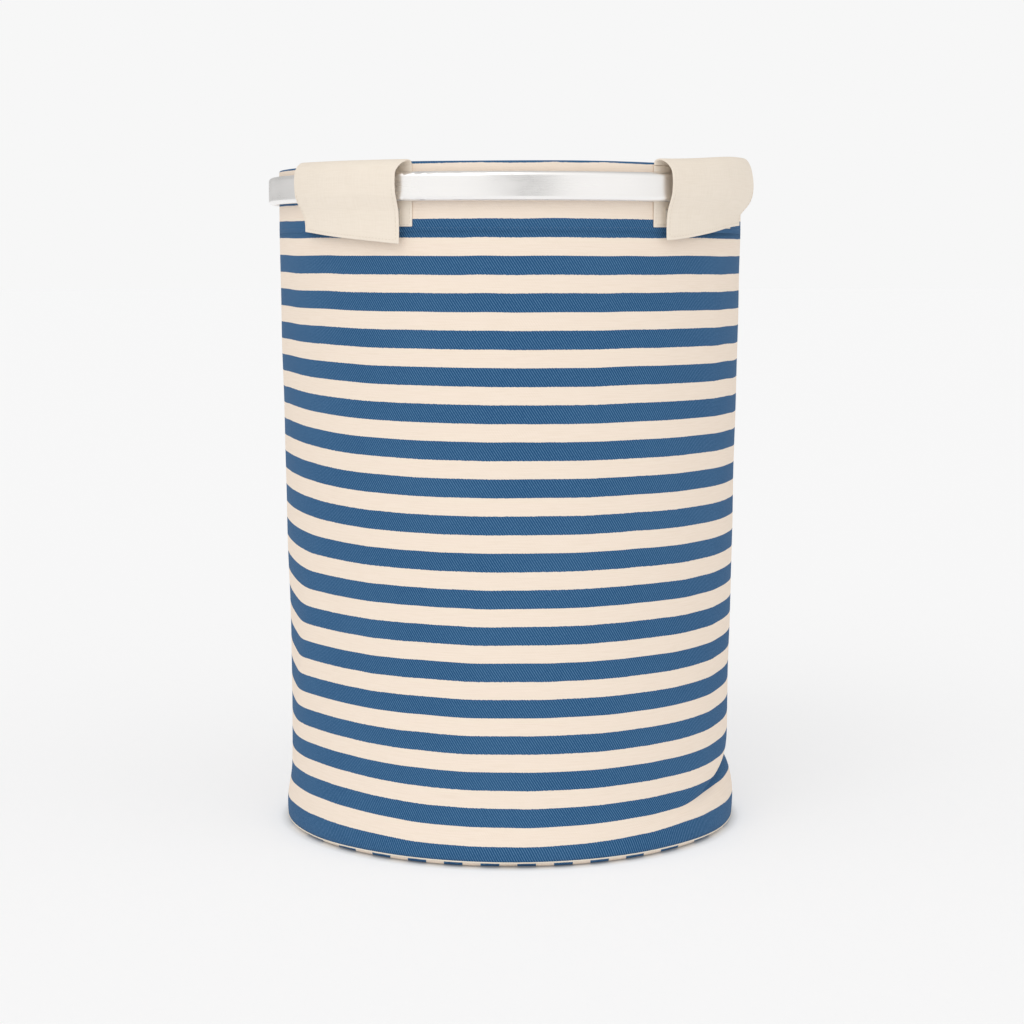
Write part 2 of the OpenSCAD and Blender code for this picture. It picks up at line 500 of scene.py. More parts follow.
@dataclass(frozen=True)
class PlainCanvas:
    """Undyed plain-weave canvas, for tabs, straps, tape and piping."""

    light: Colour = (0.91, 0.82, 0.71)
    dark: Colour = (0.83, 0.735, 0.62)
    yarn: float = 0.7 * MM
    relief: float = 0.12 * MM
    sheen: float = 0.05

    def material(self, name: str) -> bpy.types.Material:
        """Builds the material.

        Args:
            name: Its name.

        Returns:
            A material that reads the cloth's UV map.
        """
        t = Tree(name)
        u, v = t.uv()
        over = t.wave(t.math("DIVIDE", u, self.yarn))
        under = t.wave(t.math("DIVIDE", v, self.yarn))
        basket = t.math("ABSOLUTE", t.math("SUBTRACT", over, under))
        slub = t.noise((u, 900), (v, 60), detail=2)
        cross = t.noise((u, 60), (v, 900), detail=2)
        cloud = t.noise((u, 14), (v, 14), detail=3)
        yarns = t.times(t.plus(slub, cross), 0.5)
        tone = t.plus(t.times(t.span(yarns, 0.38, 0.66), 0.34),
                      t.times(t.span(cloud, 0.3, 0.8), 0.3))
        tone = t.plus(tone, t.times(basket, 0.06))
        colour = t.mix(tone, self.light, self.dark)
        relief = t.plus(t.times(basket, 0.45), t.times(yarns, 0.5))
        t.raise_by(relief, self.relief, 0.45)
        rough = t.span(yarns, 0.3, 0.7, 0.82, 0.94)
        return t.finish(colour, rough, Sheen_Weight=self.sheen, Sheen_Roughness=0.5,
                        Specular_IOR_Level=0.22)


@dataclass(frozen=True)
class CoatedCloth:
    """Thin white cloth with a clear coat on its inner face."""

    light: Colour = (0.80, 0.79, 0.76)
    dark: Colour = (0.70, 0.69, 0.66)
    yarn: float = 1.1 * MM

    def material(self, name: str) -> bpy.types.Material:
        """Builds the material.

        Args:
            name: Its name.

        Returns:
            A material that reads the cloth's UV map.
        """
        t = Tree(name)
        u, v = t.uv()
        warp, weft = (t.wave(t.math("DIVIDE", way, self.yarn)) for way in (u, v))
        grid = t.math("MAXIMUM", warp, weft)
        crumple = t.noise((u, 30), (v, 30), detail=4)
        colour = t.mix(t.span(crumple, 0.3, 0.75, 0.0, 0.7), self.light, self.dark)
        relief = t.plus(t.times(grid, 0.06), crumple)
        t.raise_by(relief, 1.6 * MM, 0.35)
        rough = t.span(crumple, 0.3, 0.7, 0.34, 0.52)
        return t.finish(colour, rough, Coat_Weight=0.25, Coat_Roughness=0.3, Specular_IOR_Level=0.45)


@dataclass(frozen=True)
class SatinMetal:
    """Aluminium with fine lines left by drawing and by the satin finish."""

    light: Colour = (0.97, 0.955, 0.94)
    dark: Colour = (0.89, 0.87, 0.855)
    rough_low: float = 0.27
    rough_high: float = 0.36

    def material(self, name: str) -> bpy.types.Material:
        """Builds the material.

        Args:
            name: Its name.

        Returns:
            A metal whose lines run level round the hoop.
        """
        t = Tree(name)
        x, y, z = t.place()
        lines = t.noise((x, 12), (y, 12), (z, 5200), detail=3)
        cloud = t.noise((x, 26), (y, 26), (z, 60), detail=3)
        marks = t.noise((x, 300), (y, 300), (z, 900), detail=2)
        colour = t.mix(t.span(lines, 0.3, 0.75, 0.0, 0.30), self.light, self.dark)
        colour = t.mix(t.span(marks, 0.68, 0.78, 0.0, 0.25), colour, self.dark)
        rough = t.plus(t.span(cloud, 0.3, 0.7, self.rough_low, self.rough_high),
                       t.span(lines, 0.3, 0.7, -0.02, 0.03))
        t.raise_by(t.plus(lines, t.times(marks, 0.4)), 0.02 * MM, 0.5)
        return t.finish(colour, rough, Metallic=1.0, Anisotropic=0.3)


@dataclass(frozen=True)
class FibreBoard:
    """Dark pressed board with a fine grain and rubbed edges."""

    light: Colour = (0.13, 0.125, 0.12)
    dark: Colour = (0.06, 0.058, 0.056)

    def material(self, name: str) -> bpy.types.Material:
        """Builds the material.

        Args:
            name: Its name.

        Returns:
            A matte material that reads the piece's own coordinates.
        """
        t = Tree(name)
        x, y, z = t.place()
        grain = t.noise((x, 900), (y, 900), (z, 900), detail=3)
        fibres = t.noise((x, 60), (y, 420), (z, 60), detail=3)
        scuff = t.noise((x, 18), (y, 18), detail=4)
        far = t.far(x, y)
        rubbed = t.times(t.span(far, 176 * MM, 182 * MM), 0.5)
        tone = t.plus(t.times(t.span(fibres, 0.35, 0.7), 0.5),
                      t.times(t.span(scuff, 0.45, 0.75), 0.4))
        colour = t.mix(t.math("MINIMUM", t.plus(tone, rubbed), 1.0), self.dark, self.light)
        t.raise_by(t.plus(grain, t.times(fibres, 0.6)), 0.12 * MM, 0.5)
        return t.finish(colour, t.span(grain, 0.3, 0.7, 0.62, 0.82), Specular_IOR_Level=0.35)


class Pile(Enum):
    """The two halves of a hook-and-loop fastener."""

    LOOPS = "loops"
    HOOKS = "hooks"


@dataclass(frozen=True)
class TouchTape:
    """One half of a hook-and-loop fastener, ecru to match the canvas."""

    pile: Pile
    light: Colour = (0.84, 0.79, 0.70)
    dark: Colour = (0.58, 0.53, 0.45)

    def material(self, name: str) -> bpy.types.Material:
        """Builds the material.

        Args:
            name: Its name.

        Returns:
            Rows of hooks, or a mat of loops, in the piece's own coordinates.
        """
        t = Tree(name)
        x, y, z = t.place()
        if self.pile is Pile.HOOKS:
            rows = t.wave(t.math("DIVIDE", z, 1.5 * MM))
            ranks = t.wave(t.math("DIVIDE", t.plus(x, t.times(y, 0.93)), 1.5 * MM))
            height = t.times(t.span(rows, 0.4, 0.9), t.span(ranks, 0.4, 0.9))
            depth, rough = 0.7 * MM, 0.55
        else:
            mat = t.noise((x, 1300), (y, 1300), (z, 1300), detail=4)
            height = t.span(mat, 0.3, 0.7)
            depth, rough = 0.6 * MM, 0.95
        colour = t.mix(height, self.dark, self.light)
        t.raise_by(height, depth, 0.8)
        return t.finish(colour, rough, Sheen_Weight=0.2)


@dataclass(frozen=True)
class Thread:
    """Twisted sewing thread."""

    light: Colour = (0.86, 0.77, 0.65)
    dark: Colour = (0.62, 0.53, 0.42)

    def material(self, name: str) -> bpy.types.Material:
        """Builds the material.

        Args:
            name: Its name.

        Returns:
            A material whose twist reads the piece's own coordinates.
        """
        t = Tree(name)
        x, y, z = t.place()
        twist = t.wave(t.times(t.plus(t.plus(x, y), z), 2600.0))
        fuzz = t.noise((x, 2500), (y, 2500), (z, 2500))
        tone = t.times(t.plus(twist, fuzz), 0.4)
        colour = t.mix(tone, self.light, self.dark)
        t.raise_by(twist, 0.08 * MM, 0.6)
        return t.finish(colour, t.span(fuzz, 0.3, 0.7, 0.55, 0.75), Sheen_Weight=0.15)


@dataclass(frozen=True)
class PaleFloor:
    """Plain matte studio floor, with a painted contact shadow round the sack's foot."""

    tone: float = 0.60
    glow: float = 0.447
    glow_colour: Colour = (0.98, 0.985, 1.0)
    painted_shadow_radius: float = 0.185
    fade: float = 0.016

    def material(self, name: str) -> bpy.types.Material:
        """Builds the material.

        Args:
            name: Its name.

        Returns:
            A matte material that also glows a little, as a sheet lit from below does, and glows less round
            the sack's foot, a painted contact shadow.
        """
        t = Tree(name)
        t.put(t.shader.inputs["Emission Color"], self.glow_colour)
        x, y, _ = t.place()
        out = t.far(x, y)
        # Painted contact shadow: the glow drops to 0.08 near the axis, so the floor darkens round the
        # sack's foot.
        glow = t.span(out, self.painted_shadow_radius, self.painted_shadow_radius + self.fade, 0.08, self.glow)
        t.put(t.shader.inputs["Emission Strength"], glow)
        return t.finish((self.tone, self.tone, self.tone), 1.0, Specular_IOR_Level=0.0)


@dataclass
class Finishes:
    """Every finish of the sack, built once."""

    striped: bpy.types.Material = field(init=False)
    canvas: bpy.types.Material = field(init=False)
    tape: bpy.types.Material = field(init=False)
    piping: bpy.types.Material = field(init=False)
    lining: bpy.types.Material = field(init=False)
    thread: bpy.types.Material = field(init=False)
    blue_thread: bpy.types.Material = field(init=False)

    def __post_init__(self) -> None:
        """Builds the materials that several sub-assemblies share."""
        self.striped = StripedTwill().material("striped_twill")
        self.canvas = PlainCanvas().material("tab_canvas")
        tape = PlainCanvas(light=(0.83, 0.78, 0.70), dark=(0.70, 0.64, 0.55), yarn=0.6 * MM)
        self.tape = tape.material("binding_tape")
        piping = PlainCanvas(light=(0.88, 0.80, 0.69), dark=(0.70, 0.60, 0.48), yarn=0.7 * MM)
        self.piping = piping.material("piping_cloth")
        self.lining = CoatedCloth().material("coated_lining")
        self.thread = Thread().material("ecru_thread")
        blue = Thread(light=(0.05, 0.15, 0.31), dark=(0.02, 0.08, 0.18))
        self.blue_thread = blue.material("blue_thread")


# ---------------------------------------------------------------- the sack's cloth surface


@dataclass(frozen=True)
class Dent:
    """A soft level or slanting crease where the wall is drawn in."""

    angle: float
    spread: float
    height: float
    slope: float
    width: float
    depth: float

    def shift(self, a: Array, s: Array) -> tuple[Array, Array]:
        """How far the crease moves the cloth.

        Args:
            a: Angle of each point from the front.
            s: Its height along the cloth.

        Returns:
            The moves outwards and upwards.
        """
        off = wrap(a - self.angle)
        t = (s - self.height - self.slope * off) / self.width
        out = -self.depth * bell(off / self.spread) * bell(t)
        return out, 0.25 * out * t


@dataclass(frozen=True)
class Lift:
    """A place where the stripes run higher than straight round."""

    angle: float
    spread: float
    height: float
    width: float
    amount: float

    def shift(self, a: Array, s: Array) -> tuple[Array, Array]:
        """How far the lift moves the cloth.

        Args:
            a: Angle of each point from the front.
            s: Its height along the cloth.

        Returns:
            The moves outwards and upwards.
        """
        up = self.amount * bell(wrap(a - self.angle) / self.spread) * bell((s - self.height) / self.width)
        return np.zeros_like(up), up


@dataclass(frozen=True)
class Tuck:
    """A fold that swallows some cloth along a slanting line, and draws up the cloth below it."""

    angle: float
    spread: float
    height: float
    slope: float
    foot: float
    swallow: float
    depth: float
    swell: float

    def shift(self, a: Array, s: Array) -> tuple[Array, Array]:
        """How far the fold moves the cloth.

        Args:
            a: Angle of each point from the front.
            s: Its height along the cloth.

        Returns:
            The moves outwards and upwards.
        """
        off = wrap(a - self.angle)
        strength = bell(off / self.spread)
        line = self.height + self.slope * np.clip(off, -0.7, 0.25)
        q = (s - self.foot) / (line - self.foot)
        rise = ease(q / 0.8) * (1 - ease((q - 0.8) / 0.55))
        out = self.swell * bell((q - 0.45) / 0.3) - self.depth * bell((q - 0.97) / 0.17)
        return strength * out, strength * self.swallow * rise


@dataclass(frozen=True)
class Ridge:
    """An upright fold edge, with the cloth behind it turned back and drawn up."""

    angle: float
    low: float
    high: float
    lean: float
    edge: float
    depth: float
    lift: float

    def shift(self, a: Array, s: Array) -> tuple[Array, Array]:
        """How far the fold moves the cloth.

        Args:
            a: Angle of each point from the front.
            s: Its height along the cloth.

        Returns:
            The moves outwards and upwards.
        """
        middle = (self.low + self.high) / 2
        strength = bell((s - middle) / (0.3 * (self.high - self.low)))
        off = -wrap(a - self.angle - self.lean * (s - middle))
        back = ease(off / math.radians(13)) * (1 - ease((off - math.radians(16)) / math.radians(34)))
        drawn = ease(off / math.radians(24)) * (1 - ease((off - math.radians(34)) / math.radians(60)))
        out = self.edge * bell(off / math.radians(4)) - self.depth * back
        return strength * out, strength * self.lift * drawn


@dataclass
class SackSurface:
    """The outer face of the striped wall, as a function of angle and of height along the cloth.

    Angles run from the front towards +X. The wall stands between the bottom seam and the hem.
    """

    foot_z: float = field(init=False)
    hem_z: float = field(init=False)
    hem_r: float = field(init=False)
    waist_r: float = 186.0 * MM
    bulge: float = 5.8 * MM
    bulge_z: float = 11 * MM
    bulge_w: float = 15 * MM
    settle: float = 2.2 * MM
    sink: float = 1.0 * MM
    creases: tuple[Dent | Lift | Tuck | Ridge, ...] = field(init=False)

    def __post_init__(self) -> None:
        """Reads the wall's driving sizes from the frame and sets out its creases."""
        low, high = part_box("outer_shell")
        self.foot_z, self.hem_z = low.z, high.z
        self.hem_r = high.x
        turn = math.radians
        self.creases = (
            Tuck(turn(87) - CAMERA_TURN, turn(23), 50 * MM, 34 * MM, self.foot_z, 8 * MM, 8 * MM,
                 0.8 * MM),
            Ridge(turn(-64) - CAMERA_TURN, 50 * MM, 250 * MM, turn(80), 1.2 * MM, 0.9 * MM, 9 * MM),
            Lift(turn(-80) - CAMERA_TURN, turn(22), 305 * MM, 75 * MM, 8.5 * MM),
            Lift(turn(-62) - CAMERA_TURN, turn(24), 15 * MM, 60 * MM, 5 * MM),
            Lift(turn(86) - CAMERA_TURN, turn(14), 130 * MM, 70 * MM, 5 * MM),
            Lift(turn(64) - CAMERA_TURN, turn(28), 12 * MM, 18 * MM, 5 * MM),
            Dent(turn(-150), turn(12), 120 * MM, 20 * MM, 22 * MM, 3.0 * MM),
            Dent(turn(160), turn(10), 60 * MM, -18 * MM, 16 * MM, 3.5 * MM),
            Dent(turn(128), turn(13), 300 * MM, 30 * MM, 30 * MM, 1.6 * MM),
        )

    def radius(self, s: Array) -> Array:
        """The wall's plain radius at a height: an even slope, with a soft bulge at the foot."""
        slope = self.waist_r + (self.hem_r - self.waist_r) * s / self.hem_z
        return slope + self.bulge * bell((s - self.bulge_z) / self.bulge_w)

    def seam_drop(self, a: Array) -> Array:
        """How far the bottom seam sits below its plain height, where the sack settles on the floor."""
        view = wrap(a + CAMERA_TURN)
        fade = math.radians(26)
        front = ease((view + math.radians(58)) / fade) * ease((math.radians(70) - view) / fade)
        rear = 0.45 * bell(wrap(view - math.pi) / math.radians(40))
        return self.settle + self.sink * (1 - front) * (1 - rear)

    def point(self, a: Array, s: Array, inset: float = 0.0) -> Array:
        """Points on the wall.

        Args:
            a: Angles from the front towards +X.
            s: Heights along the cloth.
            inset: How far inside the outer face.

        Returns:
            Positions in the row frame.
        """
        a, s = np.broadcast_arrays(a, s)
        held = ease((self.hem_z - s) / (45 * MM))
        standing = ease((s - self.foot_z) / (50 * MM))
        out = self.ripple(a, s) * held * (0.3 + 0.7 * standing)
        drop = self.seam_drop(a) * np.exp(-(s - self.foot_z) / (9 * MM))
        up = -drop
        out = out - 0.15 * drop
        for crease in self.creases:
            crease_out, crease_up = crease.shift(a, s)
            sewn = held * ease((s - self.foot_z) / (10 * MM))
            out = out + crease_out * sewn
            up = up + crease_up * sewn
        return around(a, self.radius(s) + out - inset, s + up)

    def ripple(self, a: Array, s: Array) -> Array:
        """Slow dents and swells that a stiff canvas tube has when it stands empty."""
        waves = (
            (3, 0.35, 4.0, 0.55), (5, 1.2, 6.0, 0.40), (8, 0.4, -9.0, 0.28), (13, 2.6, 12.0, 0.16),
            (21, 4.2, -21.0, 0.09),
        )
        total = sum(size * np.sin(count * a + phase + drift * s) for count, phase, drift, size in waves)
        bands = 0.20 * np.sin(34 * s + 1.4 * np.sin(2 * a)) + 0.12 * np.sin(71 * s + 3 * np.sin(a + 1))
        return (total + bands) * MM

    def foot_ring(self, a: Array) -> tuple[Array, Array]:
        """The radius and the height of the bottom seam all the way round."""
        p = self.point(a, np.full_like(a, self.foot_z))
        return np.hypot(p[..., 0], p[..., 1]), p[..., 2]


def ring_angles(count: int) -> Array:
    """Angles all the way round, starting at the rear seam."""
    return math.pi + np.arange(count) * FULL_TURN / count


def ring_uv(count: int, along: Array, size: float, slip: float = 0.0) -> Array:
    """Cloth coordinates for a closed grid.

    Args:
        count: Columns round the grid.
        along: Height along the cloth, one per row.
        size: Radius that turns an angle into cloth.
        slip: How far the pattern misses itself at the rear seam.

    Returns:
        Rows by count + 1 by 2.
    """
    turn = np.arange(count + 1) / count
    u = np.broadcast_to(turn * FULL_TURN * size, (len(along), count + 1))
    v = along[:, None] + slip * (turn[None, :] - 0.5)
    return np.stack([u, v], axis=-1)


def patch_uv(across: Array, along: Array) -> Array:
    """Cloth coordinates for an open grid, from its columns' and its rows' own places."""
    u, v = np.meshgrid(across, along)
    return np.stack([u, v], axis=-1)


# ---------------------------------------------------------------- sub-assemblies


@dataclass
class SackBody:
    """The standing sack: wall, lining, bottom and their seams."""

    surface: SackSurface
    finishes: Finishes
    canvas: float = 1.2 * MM
    lining: float = 0.6 * MM
    cord: float = 0.75 * MM
    columns: int = 384
    wall_rows: int = 124
    keep: float = field(init=False)

    def __post_init__(self) -> None:
        """Works out how flat the wall folds when the hoop is down."""
        travel = next(j for j in frame["joints"] if j["name"] == "rim_collapse")["range_m"][1]
        tall = self.surface.hem_z - self.surface.foot_z
        self.keep = (tall - travel) / tall

    def build(self) -> None:
        """Makes and dresses every piece of the sack body."""
        self.wall()
        self.wall_lining()
        self.seam_tape()
        self.bottom()
        self.bottom_lining()
        self.piping()
        self.binding()

    def fold(self, piece: bpy.types.Object) -> None:
        """Hangs a piece of the wall on the sack body, with a mesh of its own."""
        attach(piece, "sack")
        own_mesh(piece)

    def wall(self) -> None:
        """The striped canvas tube, with its upright seam at the rear."""
        a = ring_angles(self.columns)
        t = np.linspace(0, 1, self.wall_rows)
        s = self.surface.foot_z + (self.surface.hem_z - self.surface.foot_z) * (0.45 * t + 0.55 * t**2)
        points = self.surface.point(a[None, :], s[:, None])
        seam = bell(wrap(a - math.pi) / math.radians(0.9)) * 0.7 * MM
        points[..., :2] *= (1 - seam / self.surface.hem_r)[None, :, None]
        uv = ring_uv(self.columns, s, self.surface.hem_r, SEAM_MISS)
        piece = grid_piece("striped_wall", points, uv, True)
        sew(piece, (self.canvas, -1, 0), self.finishes.striped, "outer_shell")
        self.fold(piece)
        LOG.info("wall: %d vertices", len(piece.data.vertices))

    def wall_lining(self) -> None:
        """The coated lining just inside the wall."""
        a = ring_angles(192)
        s = np.linspace(self.surface.foot_z + 1 * MM, self.surface.hem_z - 0.5 * MM, 96)
        points = self.surface.point(a[None, :], s[:, None], inset=self.canvas + 0.35 * MM)
        piece = grid_piece("wall_lining", points, ring_uv(192, s, self.surface.hem_r), True)
        sew(piece, (self.lining, -1, 0), self.finishes.lining, "inner_lining")
        self.fold(piece)
        LOG.info("lining: %d vertices", len(piece.data.vertices))

    def seam_tape(self) -> None:
        """The tape over the wall's upright seam, on the inside."""
        half = math.radians(2.25)
        a = math.pi + np.linspace(-half, half, 9)
        s = np.linspace(self.surface.foot_z + 10 * MM, self.surface.hem_z - 1 * MM, 90)
        points = self.surface.point(a[None, :], s[:, None], inset=self.canvas + self.lining + 0.6 * MM)
        piece = grid_piece("rear_seam_tape_cloth", points, patch_uv(a * self.surface.hem_r, s))
        sew(piece, (0.8 * MM, -1, 0), self.finishes.tape, "rear_seam_tape")
        self.fold(piece)
        for side, name in ((-0.72, "seam_tape_stitches_left"), (0.72, "seam_tape_stitches_right")):
            line = self.surface.point(np.full_like(s, math.pi + side * half), s,
                                      inset=self.canvas + self.lining + 1.4 * MM)
            inward = -outward(np.full_like(s, math.pi))
            self.fold(stitch_row(name, line, inward, TAPE_STITCH, self.finishes.thread))
        LOG.info("rear seam tape and its stitches")

    def bottom(self) -> None:
        """The striped disc under the sack: flat on the floor, curled up to the seam."""
        a = ring_angles(288)
        seam_r, seam_z = self.surface.foot_ring(a)
        flat_r = seam_r - 4.0 * MM
        radii = [flat_r * t for t in np.linspace(0, 0.97, 24)]
        heights = [np.zeros_like(a) for _ in radii]
        lifted = bell(wrap(a + CAMERA_TURN - math.radians(0.8)) / math.radians(5))
        for t in np.linspace(0.1, 1, 12):
            radii.append(0.97 * flat_r + (seam_r - 0.5 * MM - 0.97 * flat_r) * t**0.8)
            lift = lifted * 2.0 * MM * ease(t * 1.5) * (1 - 0.8 * t)
            heights.append((seam_z - 1.0 * MM) * t**2.2 + lift)
        r = np.array(radii)
        z = np.array(heights)
        closed = np.append(a, a[0]) + CAMERA_TURN
        rr = np.concatenate([r, r[:, :1]], axis=1)
        twill = StripedTwill()
        uv = np.stack([-rr * np.cos(closed), rr * np.sin(closed) - 13.1 * MM], axis=-1)
        uv[..., 1] += twill.first_edge + twill.blue_width / 2
        piece = grid_piece("striped_base", around(a[None, :], r, z), uv, True, flip=True)
        weld(piece)
        sew(piece, (self.canvas, -1, 0), self.finishes.striped, "base_panel")
        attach(piece, "sack")
        LOG.info("striped base")

    def bottom_lining(self) -> None:
        """The coated disc inside the sack, under the board, curled up to the wall at its edge."""
        a = ring_angles(144)
        low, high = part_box("base_lining")
        seam_r, seam_z = self.surface.foot_ring(a)
        flat = np.linspace(0, high.x, 30)[:, None]
        rise = np.linspace(0.15, 1, 9)[:, None]
        curl = high.x + (seam_r - 1.9 * MM - high.x)[None, :] * rise**0.8
        r = np.concatenate([np.repeat(flat, len(a), axis=1), curl])
        swell = 0.12 * MM * np.sin(5 * a[None, :] + 60 * r) * ease(r / (40 * MM))
        swell = swell * ease((high.x - r) / (20 * MM))
        up = np.concatenate([0 * flat, rise**2.2]) * (seam_z + 0.5 * MM - high.z)[None, :]
        points = around(a[None, :], r, high.z - 0.1 * MM + swell + up)
        closed = np.append(a, a[0])
        rr = np.concatenate([r, r[:, :1]], axis=1)
        uv = np.stack([rr * np.sin(closed), -rr * np.cos(closed)], axis=-1)
        piece = grid_piece("base_lining_cloth", points, uv, True)
        weld(piece)
        thick = high.z - low.z - 0.2 * MM
        sew(piece, (thick, -1, 0), self.finishes.lining, "base_lining")
        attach(piece, "sack")
        LOG.info("base lining")

    def piping(self) -> None:
        """The cloth-covered cord in the bottom seam, of which only a thin line shows."""
        a = ring_angles(480)
        seam_r, seam_z = self.surface.foot_ring(a)
        turn = np.linspace(0, FULL_TURN, 11)[:-1]
        twist = 0.05 * MM * np.sin(turn[:, None] * 2 + a[None, :] * 120)
        r = seam_r[None, :] - 0.45 * MM + (self.cord + twist) * np.cos(turn)[:, None]
        z = seam_z[None, :] - 0.45 * MM + (self.cord + twist) * np.sin(turn)[:, None]
        rows = np.concatenate([np.arange(len(turn)), [0]])
        points = around(a[None, :], r, z)[rows]
        along = np.linspace(0, FULL_TURN * self.cord, len(rows))
        piece = grid_piece("base_seam_piping", points, ring_uv(480, along, self.surface.hem_r), True)
        weld(piece)
        dress(piece, self.finishes.piping)
        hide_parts("base_piping")
        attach(piece, "sack")
        LOG.info("piping")

    def binding(self) -> None:
        """The tape folded over the raw edges of the bottom seam, inside the sack."""
        a = ring_angles(240)
        low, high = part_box("base_seam_binding")
        tall = high.z - low.z
        inner = self.canvas + self.lining + 0.9 * MM
        across = curve_through([(inner, 1 * MM), (inner + 0.1 * MM, tall - 1.2 * MM),
                                (inner + 0.6 * MM, tall), (inner + 1.2 * MM, tall - 1.2 * MM),
                                (inner + 1.3 * MM, 1.5 * MM)], 14)
        pucker = 0.2 * MM * np.sin(46 * a) + 0.12 * MM * np.sin(17 * a + 1)
        rows = [self.surface.point(a, np.full_like(a, low.z + up), inset=far) + around(a, 0 * a, pucker)
                for far, up in across]
        along = run_along(across)
        piece = grid_piece("base_seam_tape", np.array(rows), ring_uv(240, along, self.surface.hem_r), True,
                           flip=True)
        sew(piece, (0.5 * MM, 0, 0), self.finishes.tape, "base_seam_binding")
        self.fold(piece)
        closed = np.append(a, a[0])
        line = self.surface.point(closed, np.full_like(closed, low.z + 3 * MM), inset=inner + 1.6 * MM)
        self.fold(stitch_row("base_tape_stitches", line, -outward(closed), BINDING_STITCH,
                             self.finishes.thread))
        LOG.info("seam binding")


@dataclass
class MouthHem:
    """The doubled band of striped canvas at the mouth, which moves with the hoop."""

    surface: SackSurface
    finishes: Finishes
    canvas: float = 1.2 * MM
    columns: int = 384
    fold_radius: float = 1.0 * MM

    def build(self) -> None:
        """Makes the band as one strip that is folded over at the mouth."""
        low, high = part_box("hem_band")
        outer = high.x - self.canvas / 2
        turn = np.linspace(0, math.pi, 9)
        top = high.z - self.canvas / 2 - self.fold_radius
        outside = [(outer, z) for z in np.linspace(low.z, top, 14)[:-1]]
        bend = self.fold_radius
        over = [(outer - bend * (1 - math.cos(t)), top + bend * math.sin(t)) for t in turn]
        inside = [(outer - 2 * self.fold_radius, z) for z in np.linspace(top, low.z + 0.5 * MM, 14)[1:]]
        path = np.array([*outside, *over, *inside])
        along = low.z + run_along(path)
        a = ring_angles(self.columns)
        sway = 0.3 * MM * np.sin(3 * a + 1.9) + 0.2 * MM * np.sin(7 * a)
        sway = sway - 2.0 * MM * bell(wrap(a + math.radians(90)) / math.radians(24))
        lift = ease((path[:, 1] - low.z) / (30 * MM))[:, None] * sway[None, :]
        points = around(a[None, :], path[:, :1] + 0 * a[None, :], path[:, 1:] + lift)
        uv = ring_uv(self.columns, along, self.surface.hem_r, SEAM_MISS)
        slant = 0.7 * MM * np.sin(np.append(a, a[0]) + math.pi - 0.6)
        uv[..., 1] += ease((along - low.z) / (30 * MM))[:, None] * slant[None, :]
        piece = grid_piece("mouth_hem", points, uv, True)
        sew(piece, (self.canvas, 0, 0), self.finishes.striped, "hem_band")
        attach(piece, "rim")
        self.stitches(low.z + 3.5 * MM, outer)
        LOG.info("mouth hem: %d vertices", len(piece.data.vertices))

    def stitches(self, height: float, outer: float) -> None:
        """Rows of thread that hold the turned-in hem, outside and inside.

        Args:
            height: Height of the rows.
            outer: Radius of the hem's outer layer.
        """
        a = np.append(ring_angles(480), math.pi + FULL_TURN)
        level = np.full_like(a, height)
        out = outward(a)
        half = self.canvas / 2
        rows = (
            ("hem_stitches_outside", outer + half - 0.05 * MM, out, self.finishes.blue_thread),
            ("hem_stitches_inside", outer - 2 * self.fold_radius - half + 0.05 * MM, -out,
             self.finishes.thread),
        )
        for name, radius, normal, thread in rows:
            line = around(a, np.full_like(a, radius), level)
            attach(stitch_row(name, line, normal, HEM_STITCH, thread), "rim")


